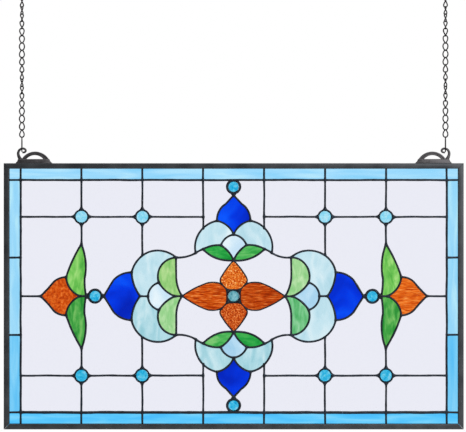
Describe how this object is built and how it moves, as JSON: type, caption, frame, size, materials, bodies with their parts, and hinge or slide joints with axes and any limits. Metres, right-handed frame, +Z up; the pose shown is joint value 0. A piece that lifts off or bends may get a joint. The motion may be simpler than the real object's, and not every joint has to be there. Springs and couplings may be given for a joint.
{
  "type": "stained glass window",
  "caption": "Rectangular stained glass hanging panel with leaded flowers, a blue border and round jewels, in a slim dark metal frame hung from chains on cast scroll brackets.",
  "frame": {"origin": "midway between the two top hooks, at the height of the seats that they hang by", "axes": "+X along the panel's width to the viewer's right, -Y out of the front face, +Z up along the chains"},
  "size_m": [0.61, 0.009, 0.6042],
  "materials": {
    "frame_metal": "dark grey metal, satin, lightly worn along its edges",
    "bracket_metal": "dark cast metal with a soft grain",
    "chain_metal": "dark wire, satin",
    "lead": "dark patinated solder, smooth and slightly uneven",
    "clear_glass": "clear rippled glass with a faint lavender cast",
    "sky_glass": "sky blue glass with soft streaks",
    "aqua_glass": "pale aqua glass with wisps",
    "pearl_glass": "pale pearly blue glass",
    "green_glass": "streaky leaf green glass",
    "orange_glass": "streaky and speckled orange glass",
    "cobalt_glass": "deep cobalt glass",
    "jewel_glass": "domed turquoise glass, glossy"
  },
  "bodies": {
    "root": {"frame_rail_top": "frame_metal", "frame_rail_bottom": "frame_metal", "frame_rail_left": "frame_metal", "frame_rail_right": "frame_metal", "hanger_bracket_left": "bracket_metal", "hanger_bracket_right": "bracket_metal", "hanging_chain_left": "chain_metal", "hanging_chain_right": "chain_metal", "lead_lines": "lead", "border_glass": "sky_glass", "clear_glass_left": "clear_glass", "clear_glass_right": "clear_glass", "left_flower_bud": "cobalt_glass", "left_flower_pearl": "pearl_glass", "left_flower_petal_upper": "aqua_glass", "left_flower_leaf_upper": "green_glass", "left_flower_petal_lower": "aqua_glass", "left_flower_leaf_lower": "green_glass", "right_flower_bud": "cobalt_glass", "right_flower_pearl": "pearl_glass", "right_flower_petal_upper": "aqua_glass", "right_flower_leaf_upper": "green_glass", "right_flower_petal_lower": "aqua_glass", "right_flower_leaf_lower": "green_glass", "top_flower_bud": "cobalt_glass", "top_flower_pearl": "pearl_glass", "top_flower_petal_left": "aqua_glass", "top_flower_leaf_left": "green_glass", "top_flower_petal_right": "aqua_glass", "top_flower_leaf_right": "green_glass", "bottom_flower_bud": "cobalt_glass", "bottom_flower_pearl": "pearl_glass", "bottom_flower_petal_left": "aqua_glass", "bottom_flower_leaf_left": "green_glass", "bottom_flower_petal_right": "aqua_glass", "bottom_flower_leaf_right": "green_glass", "centre_petal_top": "orange_glass", "centre_petal_bottom": "orange_glass", "centre_petal_left": "orange_glass", "centre_petal_right": "orange_glass", "left_end_bud": "orange_glass", "left_end_leaf_upper": "green_glass", "left_end_leaf_lower": "green_glass", "right_end_bud": "orange_glass", "right_end_leaf_upper": "green_glass", "right_end_leaf_lower": "green_glass", "jewel_centre": "jewel_glass", "jewel_top": "jewel_glass", "jewel_bottom": "jewel_glass", "jewel_left": "jewel_glass", "jewel_right": "jewel_glass", "jewel_upper_left_inner": "jewel_glass", "jewel_upper_left_outer": "jewel_glass", "jewel_upper_right_inner": "jewel_glass", "jewel_upper_right_outer": "jewel_glass", "jewel_lower_left_inner": "jewel_glass", "jewel_lower_left_outer": "jewel_glass", "jewel_lower_right_inner": "jewel_glass", "jewel_lower_right_outer": "jewel_glass"}
  },
  "joints": []
}
